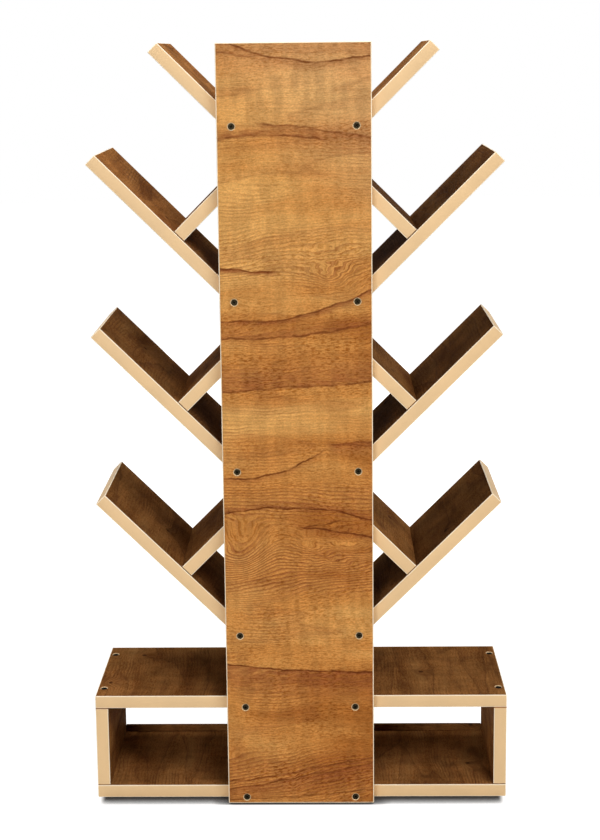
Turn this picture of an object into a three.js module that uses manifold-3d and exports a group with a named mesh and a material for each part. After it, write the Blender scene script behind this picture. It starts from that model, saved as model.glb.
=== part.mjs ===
// A tree shaped bookshelf, in millimetres, with +Z up.
// An upright trunk panel carries four V shaped tiers of shelf boards on its back, and stands in front of
// a low open box. The lower three tiers also have a short board on each side, square to the long board,
// which props up the long board of the tier above.
// X runs across the trunk, Y from the trunk's face to the boards' rear edges, and Z = 0 is the floor.
import * as THREE from "three";
import { mergeVertices } from "three/addons/utils/BufferGeometryUtils.js";
import Module from "manifold-3d";

const wasm = await Module();
wasm.setup();

// Driving dimensions
const BOARD = 18; // thickness of the laminated board that every panel is cut from
const DEPTH = 180; // shelf boards, front edge to rear edge
const ARRIS = 0.6; // the broken sharp edge all round a board
const SEAM = 0.3; // left between two pieces that meet
const TRUNK_WIDTH = 206;
const TRUNK_HEIGHT = 1065;
const TIERS = 4; // counted from the bottom
const LONG_BOARD = 380; // from the V's inner corner to the board's outer end
const TOP_LONG_BOARD = 256; // the same on the top tier
const SHORT_BOARD = 148; // from the long board that it stands on to the one that it props up
const SHELF_END = 148; // length of the long board beyond its short board
const TILT = Math.PI / 4; // of a long board to the floor
const BASE_WIDTH = 583;
const BASE_SIDE = 116; // height of the upright sides of the base
const LIP_HEIGHT = 10; // strip along the back of the base's lower board
const LIP_THICKNESS = 5;

// Screw: a countersunk wood screw with a cross recess, the same everywhere
const HEAD_RADIUS = 4.2;
const HEAD_RIM = 0.33; // the thin straight edge of the head, above its cone
const HEAD_SUNK = 0.55; // from the board's face down to the top of the head
const SHANK_RADIUS = 1.8;
const SCREW_LENGTH = 50;
const TIP_LENGTH = 5;
const RECESS_WING = 1.25; // width of one slot of the cross
const RECESS_REACH = 2.3; // from the centre to the end of a slot, at the top
const RECESS_FOOT = 0.8; // the same at the bottom
const RECESS_DEPTH = 2.2;
const SINK_RADIUS = 5.5; // mouth of the countersink in the board's face
const CLEARANCE_RADIUS = 2.25; // hole through the first board
const PILOT_RADIUS = 2.1; // hole in the board that the screw bites into
const PILOT_SPARE = 1.5; // pilot hole beyond the screw's tip
const SIDES_SEEN = 20; // facets round a screw whose head shows
const SIDES_HIDDEN = 10; // facets round a screw that the boards hide

// Places of the screws
const TRUNK_SCREW_X = 83; // off the trunk's centre line, into the long boards
const TRUNK_BASE_SCREW_X = 77; // the same, into the base
const BASE_SCREW_INSET = 28; // from the front and rear edges of the base
const CORNER_SCREW_INSET = 40; // from the front and rear edges of a V's boards

// Worked out from the above
const TIER_PITCH = (SHORT_BOARD + BOARD + 2 * SEAM) * Math.SQRT2;
const SHORT_AT = LONG_BOARD - SHELF_END - BOARD / 2; // middle of a short board's foot, along the long board
const HEAD_AT = SHORT_AT - TIER_PITCH / Math.SQRT2; // the same board's head, along the long board above
const BASE_HEIGHT = 2 * (BOARD + SEAM) + BASE_SIDE;
const TOTAL_DEPTH = BOARD + SEAM + DEPTH;
const TRUNK_FACE = -TOTAL_DEPTH / 2;
const BOARDS_FRONT = TRUNK_FACE + BOARD + SEAM;
const BOARDS_MIDDLE = BOARDS_FRONT + DEPTH / 2;

const LEFT = -1;
const RIGHT = 1;
const SIDES = [
  { side: LEFT, word: "left" },
  { side: RIGHT, word: "right" },
];

// Materials
const trunkLaminate = new THREE.MeshStandardMaterial({
  color: "#c08a4c",
  roughness: 0.5,
  metalness: 0,
  flatShading: true,
});
const shelfLaminate = new THREE.MeshStandardMaterial({
  color: "#7d4f2a",
  roughness: 0.5,
  metalness: 0,
  flatShading: true,
});
const blackenedSteel = new THREE.MeshStandardMaterial({
  color: "#3b362f",
  roughness: 0.42,
  metalness: 0.85,
  flatShading: true,
});

// A closed mesh as a solid, with its shared corners merged and its collapsed triangles dropped.
function toSolid(geometry) {
  const bare = geometry.clone();
  bare.deleteAttribute("normal");
  bare.deleteAttribute("uv");
  const merged = mergeVertices(bare, 1e-4);
  const corners = [];
  for (let i = 0; i < merged.index.count; i += 3) {
    const [a, b, c] = [0, 1, 2].map((k) => merged.index.getX(i + k));
    if (a !== b && b !== c && c !== a) corners.push(a, b, c);
  }
  return new wasm.Manifold(
    new wasm.Mesh({
      numProp: 3,
      vertProperties: new Float32Array(merged.attributes.position.array),
      triVerts: new Uint32Array(corners),
    }),
  );
}

function toGeometry(solid) {
  const { vertProperties, triVerts } = solid.getMesh();
  const geometry = new THREE.BufferGeometry();
  geometry.setAttribute("position", new THREE.BufferAttribute(vertProperties, 3));
  geometry.setIndex(new THREE.BufferAttribute(triVerts, 1));
  const faceted = geometry.toNonIndexed();
  faceted.computeVertexNormals();
  return faceted;
}

// One board, centred on its own origin, with every arris broken.
function boardGeometry(x, y, z) {
  const [right, top] = [x / 2, z / 2];
  const outline = new THREE.Shape([
    new THREE.Vector2(right - ARRIS, -top),
    new THREE.Vector2(right, -top + ARRIS),
    new THREE.Vector2(right, top - ARRIS),
    new THREE.Vector2(right - ARRIS, top),
    new THREE.Vector2(-right + ARRIS, top),
    new THREE.Vector2(-right, top - ARRIS),
    new THREE.Vector2(-right, -top + ARRIS),
    new THREE.Vector2(-right + ARRIS, -top),
  ]);
  const geometry = new THREE.ExtrudeGeometry(outline, {
    depth: y - 2 * ARRIS,
    bevelThickness: ARRIS,
    bevelSize: ARRIS,
    bevelOffset: -ARRIS,
    bevelSegments: 1,
  });
  return geometry.translate(0, 0, ARRIS - y / 2).rotateX(Math.PI / 2);
}

// A profile of [radius, height] turned about the Z axis.
function turned(profile, sides) {
  const points = profile.map(([radius, height]) => new THREE.Vector2(radius, height));
  return new THREE.LatheGeometry(points, sides).rotateX(Math.PI / 2);
}

// One slot of the cross recess: it narrows towards its foot.
function recessWing() {
  const mouth = 1; // how far the cutter stands above the head
  const slope = (RECESS_REACH - RECESS_FOOT) / RECESS_DEPTH;
  const reach = RECESS_REACH + mouth * slope;
  const outline = new THREE.Shape([
    new THREE.Vector2(-RECESS_FOOT, -RECESS_DEPTH),
    new THREE.Vector2(RECESS_FOOT, -RECESS_DEPTH),
    new THREE.Vector2(reach, mouth),
    new THREE.Vector2(-reach, mouth),
  ]);
  const wing = new THREE.ExtrudeGeometry(outline, { depth: RECESS_WING, bevelEnabled: false });
  return wing.translate(0, 0, -RECESS_WING / 2).rotateX(Math.PI / 2);
}

// A screw stands along Z with its tip down. Z = 0 is the face of the board that it is driven into.
function screwGeometry(sides) {
  const top = -HEAD_SUNK;
  const tip = top - SCREW_LENGTH;
  const neck = top - HEAD_RIM - (HEAD_RADIUS - SHANK_RADIUS);
  const blank = turned(
    [
      [0, tip],
      [SHANK_RADIUS, tip + TIP_LENGTH],
      [SHANK_RADIUS, neck],
      [HEAD_RADIUS, top - HEAD_RIM],
      [HEAD_RADIUS, top],
      [0, top],
    ],
    sides,
  );
  const wing = recessWing().translate(0, 0, top);
  const crossWing = wing.clone().rotateZ(Math.PI / 2);
  return toGeometry(toSolid(blank).subtract(toSolid(wing)).subtract(toSolid(crossWing)));
}

// The hole for a screw, in the screw's own frame: countersink, clearance hole, pilot hole.
function holeGeometry(sides) {
  const above = 1; // how far the cutter stands above the board's face
  const sinkFoot = CLEARANCE_RADIUS - SINK_RADIUS;
  const pilotTop = -BOARD - SEAM / 2;
  const pilotFoot = -HEAD_SUNK - SCREW_LENGTH - PILOT_SPARE;
  return turned(
    [
      [0, pilotFoot],
      [PILOT_RADIUS, pilotFoot],
      [PILOT_RADIUS, pilotTop],
      [CLEARANCE_RADIUS, pilotTop],
      [CLEARANCE_RADIUS, sinkFoot],
      [SINK_RADIUS + above, above],
      [0, above],
    ],
    sides,
  );
}

const screwSeen = screwGeometry(SIDES_SEEN);
const screwHidden = screwGeometry(SIDES_HIDDEN);
const holeSeen = holeGeometry(SIDES_SEEN);
const holeHidden = holeGeometry(SIDES_HIDDEN);

const bookshelf = new THREE.Group();
const fastenings = [];

function addBoard(parent, name, size, position, material = shelfLaminate) {
  const board = new THREE.Mesh(boardGeometry(...size), material);
  board.name = name;
  board.position.set(...position);
  parent.add(board);
  return board;
}

// Drives a screw along "axis" from a point on the face of the first board into the second board.
function addScrew(parent, name, position, axis, boards, seen = false) {
  const screw = new THREE.Mesh(seen ? screwSeen : screwHidden, blackenedSteel);
  screw.name = name;
  screw.position.set(...position);
  screw.quaternion.setFromUnitVectors(new THREE.Vector3(0, 0, -1), new THREE.Vector3(...axis));
  parent.add(screw);
  fastenings.push({ screw, boards, hole: seen ? holeSeen : holeHidden });
}

// Cuts the hole of every screw in the boards that it joins.
function drillBoards() {
  bookshelf.updateMatrixWorld(true);
  const drilled = new Map();
  for (const { screw, boards, hole } of fastenings) {
    for (const board of boards) {
      const intoBoard = board.matrixWorld.clone().invert().multiply(screw.matrixWorld);
      const cutter = toSolid(hole.clone().applyMatrix4(intoBoard));
      const solid = drilled.get(board) ?? toSolid(board.geometry);
      drilled.set(board, solid.subtract(cutter));
    }
  }
  for (const [board, solid] of drilled) board.geometry = toGeometry(solid);
}

// The base: the upper board laps over the two sides, which stand on the lower board.
function makeBase() {
  const base = new THREE.Group();
  base.position.set(0, BOARDS_MIDDLE, 0);
  bookshelf.add(base);
  const across = [BASE_WIDTH, DEPTH, BOARD];
  const bottom = addBoard(base, "base_bottom_board", across, [0, 0, BOARD / 2]);
  const top = addBoard(base, "base_top_board", across, [0, 0, BASE_HEIGHT - BOARD / 2]);
  for (const { side, word } of SIDES) {
    const x = (side * (BASE_WIDTH - BOARD)) / 2;
    const upright = addBoard(base, `base_side_${word}`, [BOARD, DEPTH, BASE_SIDE], [x, 0, BASE_HEIGHT / 2]);
    for (const [y, place] of [
      [BASE_SCREW_INSET - DEPTH / 2, "front"],
      [DEPTH / 2 - BASE_SCREW_INSET, "rear"],
    ]) {
      const down = [0, 0, -1];
      const up = [0, 0, 1];
      addScrew(base, `base_top_screw_${word}_${place}`, [x, y, BASE_HEIGHT], down, [top, upright], true);
      addScrew(base, `base_bottom_screw_${word}_${place}`, [x, y, 0], up, [bottom, upright]);
    }
  }
  const lipLength = BASE_WIDTH - 2 * (BOARD + SEAM);
  const lipY = (DEPTH - LIP_THICKNESS) / 2;
  const lipZ = BOARD + SEAM + LIP_HEIGHT / 2;
  addBoard(base, "base_rear_lip", [lipLength, LIP_THICKNESS, LIP_HEIGHT], [0, lipY, lipZ]);
  return { top, bottom };
}

// An arm holds the boards on one side of a V. Along its X, times "side", it runs from the V's inner
// corner to the outer end, and its Z stands square to the shelf's upper face.
function makeArm(tier, side) {
  const arm = new THREE.Group();
  arm.rotation.y = -side * TILT;
  tier.add(arm);
  return arm;
}

// The left long board runs on under the V's corner, and the right one butts against its upper face.
function makeTier(number) {
  const tier = new THREE.Group();
  const corner = BASE_HEIGHT + SEAM + BOARD * Math.SQRT2 + (number - 1) * TIER_PITCH;
  tier.position.set(0, BOARDS_MIDDLE, corner);
  bookshelf.add(tier);
  const reach = number === TIERS ? TOP_LONG_BOARD : LONG_BOARD;
  const made = { corner, arms: {}, long: {}, short: {} };
  for (const { side, word } of SIDES) {
    const arm = makeArm(tier, side);
    const start = side === LEFT ? -BOARD : SEAM;
    const length = reach - start;
    const longSize = [length, DEPTH, BOARD];
    const longPlace = [side * (start + length / 2), 0, -BOARD / 2];
    const long = addBoard(arm, `tier_${number}_long_board_${word}`, longSize, longPlace);
    made.arms[word] = arm;
    made.long[word] = long;
    if (number < TIERS) {
      const shortSize = [BOARD, DEPTH, SHORT_BOARD];
      const shortPlace = [side * SHORT_AT, 0, SEAM + SHORT_BOARD / 2];
      const short = addBoard(arm, `tier_${number}_short_board_${word}`, shortSize, shortPlace);
      const foot = [side * SHORT_AT, 0, -BOARD];
      addScrew(arm, `short_board_foot_screw_${number}_${word}`, foot, [0, 0, 1], [long, short]);
      made.short[word] = short;
    }
  }
  const cornerBoards = [made.long.left, made.long.right];
  for (const [y, place] of [
    [CORNER_SCREW_INSET - DEPTH / 2, "front"],
    [DEPTH / 2 - CORNER_SCREW_INSET, "rear"],
  ]) {
    const start = [BOARD / 2, y, -BOARD];
    addScrew(made.arms.left, `corner_screw_${number}_${place}`, start, [0, 0, 1], cornerBoards);
  }
  return made;
}

// A screw through each long board holds the head of the short board that props it up.
function joinTiers(lower, upper, number) {
  for (const { side, word } of SIDES) {
    const name = `short_board_head_screw_${number}_${word}`;
    const boards = [upper.long[word], lower.short[word]];
    addScrew(upper.arms[word], name, [side * HEAD_AT, 0, 0], [0, 0, -1], boards);
  }
}

// The trunk stands on the floor and is screwed to the front edge of every long board and of the base.
function makeTrunk(tiers, base) {
  const size = [TRUNK_WIDTH, BOARD, TRUNK_HEIGHT];
  const place = [0, TRUNK_FACE + BOARD / 2, TRUNK_HEIGHT / 2];
  const trunk = addBoard(bookshelf, "trunk_panel", size, place, trunkLaminate);
  const inward = [0, 1, 0];
  const boardDrop = (BOARD / 2) * Math.SQRT2; // from a tilted board's upper face down to its middle
  for (const { side, word } of SIDES) {
    tiers.forEach((tier, i) => {
      const at = [side * TRUNK_SCREW_X, TRUNK_FACE, tier.corner + TRUNK_SCREW_X - boardDrop];
      addScrew(bookshelf, `trunk_screw_tier_${i + 1}_${word}`, at, inward, [trunk, tier.long[word]], true);
    });
    for (const [board, height, row] of [
      [base.top, BASE_HEIGHT - BOARD / 2, "base_top"],
      [base.bottom, BOARD / 2, "base_bottom"],
    ]) {
      const at = [side * TRUNK_BASE_SCREW_X, TRUNK_FACE, height];
      addScrew(bookshelf, `trunk_screw_${row}_${word}`, at, inward, [trunk, board], true);
    }
  }
}

const base = makeBase();
const tiers = [];
for (let number = 1; number <= TIERS; number++) {
  const tier = makeTier(number);
  if (tiers.length) joinTiers(tiers.at(-1), tier, number - 1);
  tiers.push(tier);
}
makeTrunk(tiers, base);
drillBoards();

export default bookshelf;
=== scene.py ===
import math
import random
from typing import NamedTuple

import bmesh
import bpy
from bpy.props import FloatProperty, FloatVectorProperty, IntProperty, PointerProperty
from mathutils import Matrix, Vector


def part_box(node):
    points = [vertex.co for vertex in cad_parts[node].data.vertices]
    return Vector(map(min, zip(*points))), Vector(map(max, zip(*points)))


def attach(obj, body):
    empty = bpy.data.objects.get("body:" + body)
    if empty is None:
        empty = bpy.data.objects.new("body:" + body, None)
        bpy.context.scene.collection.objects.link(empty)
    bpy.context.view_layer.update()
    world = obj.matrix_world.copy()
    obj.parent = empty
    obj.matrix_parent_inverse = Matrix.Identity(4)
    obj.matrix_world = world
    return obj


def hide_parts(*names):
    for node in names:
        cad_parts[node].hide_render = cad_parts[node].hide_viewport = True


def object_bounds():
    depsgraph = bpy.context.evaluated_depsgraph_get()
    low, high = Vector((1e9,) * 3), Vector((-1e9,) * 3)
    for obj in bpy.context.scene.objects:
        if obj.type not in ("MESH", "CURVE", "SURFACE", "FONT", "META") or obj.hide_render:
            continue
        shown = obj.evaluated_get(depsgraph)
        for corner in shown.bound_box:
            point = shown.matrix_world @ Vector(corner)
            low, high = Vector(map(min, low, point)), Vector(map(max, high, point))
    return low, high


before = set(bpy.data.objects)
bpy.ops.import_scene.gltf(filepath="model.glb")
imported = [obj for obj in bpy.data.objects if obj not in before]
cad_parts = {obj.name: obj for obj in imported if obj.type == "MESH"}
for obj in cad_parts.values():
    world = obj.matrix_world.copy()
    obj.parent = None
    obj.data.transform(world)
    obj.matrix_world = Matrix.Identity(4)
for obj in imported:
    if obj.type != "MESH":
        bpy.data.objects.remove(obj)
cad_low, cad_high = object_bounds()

bl_info = {
    "name": "Tree shaped bookshelf",
    "version": (1, 0, 0),
    "blender": (4, 5, 0),
    "location": "View3D > Sidebar > Bookshelf",
    "description": "Models and finishes the boards, edge banding and screws of a tree shaped bookshelf",
    "category": "Object",
}

MM = 0.001
PRINT_UV = "print"  # UV map in metres: U along the printed grain, V across it
TIERS = (1, 2, 3, 4)  # counted from the bottom
PROPPING_TIERS = TIERS[:-1]  # the tiers that have short boards

# How a board is turned about Y, in degrees, from lying flat with its length along X
RISING_LEFT, RISING_RIGHT = 45, -45
LYING = 0
STANDING_LEFT, STANDING_RIGHT = -90, 90


def linear(colour):
    """Turns an sRGB hex colour into linear red, green, blue and alpha."""
    parts = [int(colour[i : i + 2], 16) / 255 for i in (1, 3, 5)]
    return (*(c / 12.92 if c <= 0.04045 else ((c + 0.055) / 1.055) ** 2.4 for c in parts), 1.0)


def length(name, description, millimetres):
    """A setting that is a length, given in millimetres and held in metres."""
    return FloatProperty(
        name=name, description=description, default=millimetres * MM, min=0, unit="LENGTH", precision=5
    )


def colour(name, description, value):
    """A setting that is a colour, given in sRGB hex."""
    return FloatVectorProperty(
        name=name, description=description, default=linear(value), size=4, min=0, max=1, subtype="COLOR"
    )


def angle(name, description, degrees):
    """A setting that is an angle, given in degrees and held in radians."""
    return FloatProperty(
        name=name, description=description, default=math.radians(degrees), unit="ROTATION"
    )


def power(name, description, watts):
    """A setting that is the power of a light."""
    return FloatProperty(name=name, description=description, default=watts, min=0, unit="POWER")


class BoardSettings(bpy.types.PropertyGroup):
    """Sizes that every laminated board shares"""

    banding: length("Edge banding", "Thickness of the plastic strip glued round a board", 1.3)
    arris: length("Arris radius", "Rounding of the banding's outer edges", 1.0)
    glue_line: length("Glue line", "Gap between the banding and the board", 0.05)
    face_break: length("Face break", "Fine chamfer where the laminate ends", 0.12)


class ScrewSettings(bpy.types.PropertyGroup):
    """Sizes of the countersunk wood screw and of its hole"""

    head: length("Head radius", "Radius of the screw's flat head", 4.2)
    rim: length("Head rim", "Height of the straight rim above the head's cone", 0.33)
    shank: length("Shank radius", "Radius of the plain shank under the head", 1.75)
    core: length("Thread core", "Radius of the threaded part between its threads", 1.3)
    crest: length("Thread crest", "Radius over the thread", 2.0)
    pitch: length("Thread pitch", "Distance from one thread to the next", 2.2)
    plain: length("Plain shank", "Length under the head that has no thread", 17)
    tip: length("Tip", "Length of the pointed tip", 5)
    recess_reach: length("Recess reach", "Half the cross recess, end to end", 2.3)
    recess_foot: length("Recess foot", "Half the cross recess at its bottom", 0.8)
    recess_slot: length("Recess slot", "Width of one slot of the cross", 1.25)
    recess_depth: length("Recess depth", "Depth of the cross recess", 2.2)
    sunk: length("Sunk", "From the board's face down to the head", 0.55)
    mouth: length("Countersink mouth", "Radius of the countersink at the board's face", 5.5)
    clearance: length("Clearance hole", "Radius of the hole through the first board", 2.25)
    pilot: length("Pilot hole", "Radius of the hole that the thread bites into", 2.1)
    spare: length("Spare depth", "Pilot hole beyond the screw's tip", 1.5)
    seed: IntProperty(name="Seed", description="Chooses how each screw's cross is turned", default=7)


class FinishSettings(bpy.types.PropertyGroup):
    """Colours of the finishes"""

    trunk_light: colour("Trunk, light", "Palest wood of the trunk's print", "#d6a05a")
    # Painted sheen: a greyer tone mixed into the top of the trunk's print, more so to the right, where
    # the light from above sheens on it
    trunk_painted_sheen: colour("Trunk, faded", "Greyer wood at the top of the trunk's print", "#c9a67e")
    trunk_mid: colour("Trunk, middle", "Ground colour of the trunk's print", "#c58643")
    trunk_deep: colour("Trunk, deep", "Browner bands of the trunk's print", "#a8682c")
    trunk_stain: colour("Trunk, stain", "Reddish stain beside the trunk's veins", "#8e4f2a")
    trunk_vein: colour("Trunk, vein", "Thin dark veins of the trunk's print", "#65300e")
    shelf_light: colour("Shelves, light", "Palest wood of the shelves' print", "#a47745")
    shelf_mid: colour("Shelves, middle", "Ground colour of the shelves' print", "#8f6034")
    shelf_deep: colour("Shelves, deep", "Browner bands of the shelves' print", "#744823")
    shelf_stain: colour("Shelves, stain", "Reddish stain beside the shelves' veins", "#5c341b")
    shelf_vein: colour("Shelves, vein", "Thin dark veins of the shelves' print", "#331a0d")
    pores: colour("Pores", "Tint that the printed pores lay over the wood", "#cdb592")
    trunk_sheen: FloatProperty(name="Trunk's sheen", description="Its laminate's shine", default=0.06)
    shelf_sheen: FloatProperty(name="Shelves' sheen", description="Their laminate's shine", default=0.002)
    banding: colour("Edge banding", "Cream plastic edge banding", "#e2be8d")
    # Partly painted highlight: the rounded arrises take this paler cream, for scraped whitening of the
    # plastic and for the light that the arris catches
    scraped: colour("Scraped arris", "Whitened plastic where corners are scraped", "#fbe9cc")
    chips: colour("Particle board", "Raw chips inside a countersink", "#e0c094")
    steel: colour("Blackened steel", "Screws", "#2c261a")
    # Painted shade: the cross recess is coloured darker than the head, for the shade deep inside it
    recess_steel: colour("Recess steel", "Cross recess, black with oil", "#16130c")


class StageSettings(bpy.types.PropertyGroup):
    """Camera and light"""

    eye: FloatVectorProperty(
        name="Camera place", description="Where the camera stands", default=(0.0426, -2.1196, 1.0518),
        size=3, unit="LENGTH",
    )
    pitch: angle("Pitch", "How far the camera looks down", 9.0)
    yaw: angle("Yaw", "How far the camera looks to the right", -0.99)
    roll: angle("Roll", "How far the camera leans", -0.61)
    lens: FloatProperty(
        name="Lens", description="Focal length in millimetres on a 36 mm sensor", default=65.28
    )
    shift: FloatVectorProperty(
        name="Shift", description="Shift of the lens across and up", default=(-0.0017, -0.1508), size=2
    )
    front_power: power("Front light", "Power of the soft light in front", 86)
    key_power: power("Key light", "Power of the high light on the right", 92)
    top_power: power("Top light", "Power of the light overhead", 34)
    side_power: power("Side light", "Power of the light beside the top", 12)
    rear_power: power("Rear light", "Power of the light behind", 8)
    fill: FloatProperty(
        name="Fill", description="Strength of the light from all round", default=0.065, min=0
    )


def deselect_all():
    if bpy.context.mode != "OBJECT":
        bpy.ops.object.mode_set(mode="OBJECT")
    bpy.ops.object.select_all(action="DESELECT")


def make_active(piece):
    deselect_all()
    piece.select_set(True)
    bpy.context.view_layer.objects.active = piece


def settle(name):
    """Names the object just added and moves its place, turn and size into its mesh."""
    piece = bpy.context.active_object
    piece.name = name
    piece.data.name = name
    bpy.ops.object.transform_apply(location=True, rotation=True, scale=True)
    return piece


def pick(piece, kind, test):
    """In edit mode, selects the "faces" or "edges" that pass the test, and nothing else."""
    bpy.ops.mesh.select_mode(type={"faces": "FACE", "edges": "EDGE"}[kind])
    bpy.ops.mesh.select_all(action="DESELECT")
    shape = bmesh.from_edit_mesh(piece.data)
    for part in getattr(shape, kind):
        if test(part):
            part.select_set(True)
    bmesh.update_edit_mesh(piece.data)


def finish_edit(smooth_angle=30):
    """Turns every face outwards, leaves edit mode, and shades smooth across the shallow edges."""
    bpy.ops.mesh.select_all(action="SELECT")
    bpy.ops.mesh.normals_make_consistent(inside=False)
    bpy.ops.object.mode_set(mode="OBJECT")
    bpy.ops.object.shade_smooth_by_angle(angle=math.radians(smooth_angle))


def carve(piece, cutter, operation="DIFFERENCE"):
    """Cuts the cutter out of the piece, or joins it on; the cut walls keep the cutter's material."""
    make_active(piece)
    bpy.ops.object.modifier_add(type="BOOLEAN")
    modifier = piece.modifiers[-1]
    modifier.operation = operation
    modifier.solver = "EXACT"
    modifier.material_mode = "TRANSFER"
    modifier.object = cutter
    bpy.ops.object.modifier_apply(modifier=modifier.name)
    make_active(cutter)
    bpy.ops.object.delete()


def copy_of(master, name, place):
    """A copy of a master piece with its own mesh, put in place in the mesh itself."""
    mesh = master.data.copy()
    mesh.transform(place)
    mesh.name = name
    piece = bpy.data.objects.new(name, mesh)
    bpy.context.scene.collection.objects.link(piece)
    return piece


def declare(piece, slot, *nodes):
    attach(piece, "root")
    if nodes:
        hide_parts(*nodes)


# The frame's boards: how each one lies, where its middle is and how large it is

BOARD_TURNS = {
    "base_bottom_board": LYING,
    "base_top_board": LYING,
    "base_side_left": STANDING_LEFT,
    "base_side_right": STANDING_RIGHT,
}
for tier in TIERS:
    BOARD_TURNS[f"tier_{tier}_long_board_left"] = RISING_LEFT
    BOARD_TURNS[f"tier_{tier}_long_board_right"] = RISING_RIGHT
for tier in PROPPING_TIERS:
    BOARD_TURNS[f"tier_{tier}_short_board_left"] = RISING_RIGHT
    BOARD_TURNS[f"tier_{tier}_short_board_right"] = RISING_LEFT

# The trunk stands with its length down, its depth along X and its face along -Y.
TRUNK_TURN = Matrix(((0, 1, 0), (0, 0, -1), (-1, 0, 0)))


def extent(node, direction):
    """How far a node of the frame reaches along a direction, as (lowest, highest)."""
    reaches = [vertex.co.dot(direction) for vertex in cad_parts[node].data.vertices]
    return min(reaches), max(reaches)


def board_place(node):
    """Where a board lies, and its size.

    The matrix has its length along X, its depth along Y and its face along Z.
    """
    turn = TRUNK_TURN
    if node in BOARD_TURNS:
        turn = Matrix.Rotation(math.radians(BOARD_TURNS[node]), 3, "Y")
    extents = [extent(node, turn.col[axis]) for axis in range(3)]
    middle = turn @ Vector([(low + high) / 2 for low, high in extents])
    size = Vector([high - low for low, high in extents])
    return Matrix.Translation(middle) @ turn.to_4x4(), size


def bare_ends(node):
    """The ends of a board, as -1 and 1 along its length, that butt against another board."""
    if "short_board" in node or node.startswith("base_side"):
        return (-1, 1)
    return (-1,) if "long_board_right" in node else ()


def screw_direction(node):
    """The way a screw is driven, from its head to its tip."""
    rise = {"left": Vector((1, 0, 1)).normalized(), "right": Vector((-1, 0, 1)).normalized()}
    if node.startswith("trunk_screw"):
        return Vector((0, 1, 0))
    if node.startswith("base_top_screw"):
        return Vector((0, 0, -1))
    if node.startswith("base_bottom_screw"):
        return Vector((0, 0, 1))
    if node.startswith("corner_screw"):
        return rise["left"]
    side = node.rsplit("_", 1)[1]
    return rise[side] if "foot" in node else -rise[side]


def screw_place(node, seed):
    """A matrix with the screw's axis along Z, its tip down, and Z = 0 at the top of its head."""
    down = screw_direction(node)
    across = down.orthogonal().normalized()
    along = down.cross(across)
    middle = [sum(extent(node, axis)) / 2 for axis in (across, along)]
    head = extent(node, down)[0]
    at = across * middle[0] + along * middle[1] + down * head
    turn = Matrix((across, along, down)).transposed() @ Matrix.Rotation(math.pi, 3, "X")
    spin = Matrix.Rotation(random.Random(f"{seed} {node}").uniform(0, math.pi / 2), 4, "Z")
    return Matrix.Translation(at) @ turn.to_4x4() @ spin


SCREW_NODES = sorted(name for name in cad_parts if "_screw_" in name)
BOARD_NODES = sorted(BOARD_TURNS)


# Modelling

def add_block(name, place, size):
    """A plain block at its size and place, to be shaped further."""
    deselect_all()
    bpy.ops.mesh.primitive_cube_add(
        size=1, location=place.to_translation(), rotation=place.to_euler(), scale=size
    )
    return settle(name)


def model_banding(name, place, size, bare, boards):
    """The banding round a board: a block hollowed out through both faces, its arrises rounded.

    An end of the board that butts against another one is bare, so the strip there is cut off.
    """
    ring = add_block(name, place, size)
    face = place.col[2].xyz
    to_board = place.inverted()

    def is_outer(edge):
        near = 0.1 * boards.banding
        ends = [to_board @ vertex.co for vertex in edge.verts]
        return all(abs(abs(end[axis]) - size[axis] / 2) < near for end in ends for axis in (0, 1))

    ring.data.materials.append(material("edge_banding"))
    ring.data.materials.append(material("scraped_banding"))
    bpy.ops.object.mode_set(mode="EDIT")
    pick(ring, "faces", lambda part: abs(part.normal.dot(face)) > 0.9)
    bpy.ops.mesh.inset(thickness=boards.banding)
    bpy.ops.mesh.bridge_edge_loops()
    pick(ring, "edges", is_outer)
    # The rounded arrises get the second material: whitened plastic and a painted highlight along the
    # edges
    bpy.ops.mesh.bevel(offset=boards.arris, segments=3, affect="EDGES", material=1)
    for end in bare:
        bpy.ops.mesh.select_all(action="SELECT")
        bpy.ops.mesh.bisect(
            plane_co=place @ Vector((end * (size.x / 2 - boards.banding), 0, 0)),
            plane_no=end * place.col[0].xyz, use_fill=True, clear_outer=True,
        )
    finish_edit()
    return ring


def model_body(name, place, size, bare, boards, finish):
    """The board inside its banding, with the fine chamfer of the laminate's edge."""
    inset = boards.banding + boards.glue_line
    middle = place @ Matrix.Translation((sum(bare) * inset / 2, 0, 0))
    body = add_block(name, middle, size - Vector(((2 - len(bare)) * inset, 2 * inset, 0)))
    bpy.ops.object.mode_set(mode="EDIT")
    bpy.ops.mesh.select_mode(type="EDGE")
    bpy.ops.mesh.select_all(action="SELECT")
    bpy.ops.mesh.bevel(offset=boards.face_break, segments=1, affect="EDGES")
    finish_edit()
    body.data.materials.append(material(finish))
    return body


def turned_piece(name, stations, sides):
    """A solid turned about Z: a disc extruded from one (radius, height) to the next."""
    deselect_all()
    radius, height = stations[0]
    bpy.ops.mesh.primitive_circle_add(
        vertices=sides, radius=radius, fill_type="NGON", location=(0, 0, height)
    )
    piece = settle(name)
    bpy.ops.object.mode_set(mode="EDIT")
    for next_radius, next_height in stations[1:]:
        step = (0, 0, next_height - height)
        bpy.ops.mesh.extrude_region_move(TRANSFORM_OT_translate={"value": step})
        ratio = next_radius / radius
        bpy.ops.transform.resize(value=(ratio, ratio, 1), center_override=(0, 0, next_height))
        radius, height = next_radius, next_height
    finish_edit()
    return piece


def model_hole(screws, screw_length, board):
    """The drill's shape for one screw: countersink, clearance hole and pilot hole."""
    above = 1 * MM  # how far it stands above the board's face
    face = screws.sunk
    cone_foot = face - (screws.mouth - screws.clearance)
    board_foot = face - board
    stations = [
        (screws.mouth + above, face + above), (screws.clearance, cone_foot),
        (screws.clearance, board_foot), (screws.pilot, board_foot),
        (screws.pilot, -screw_length - screws.spare),
    ]
    hole = turned_piece("hole", stations, sides=40)
    hole.data.materials.append(material("particle_board"))
    return hole


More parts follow.
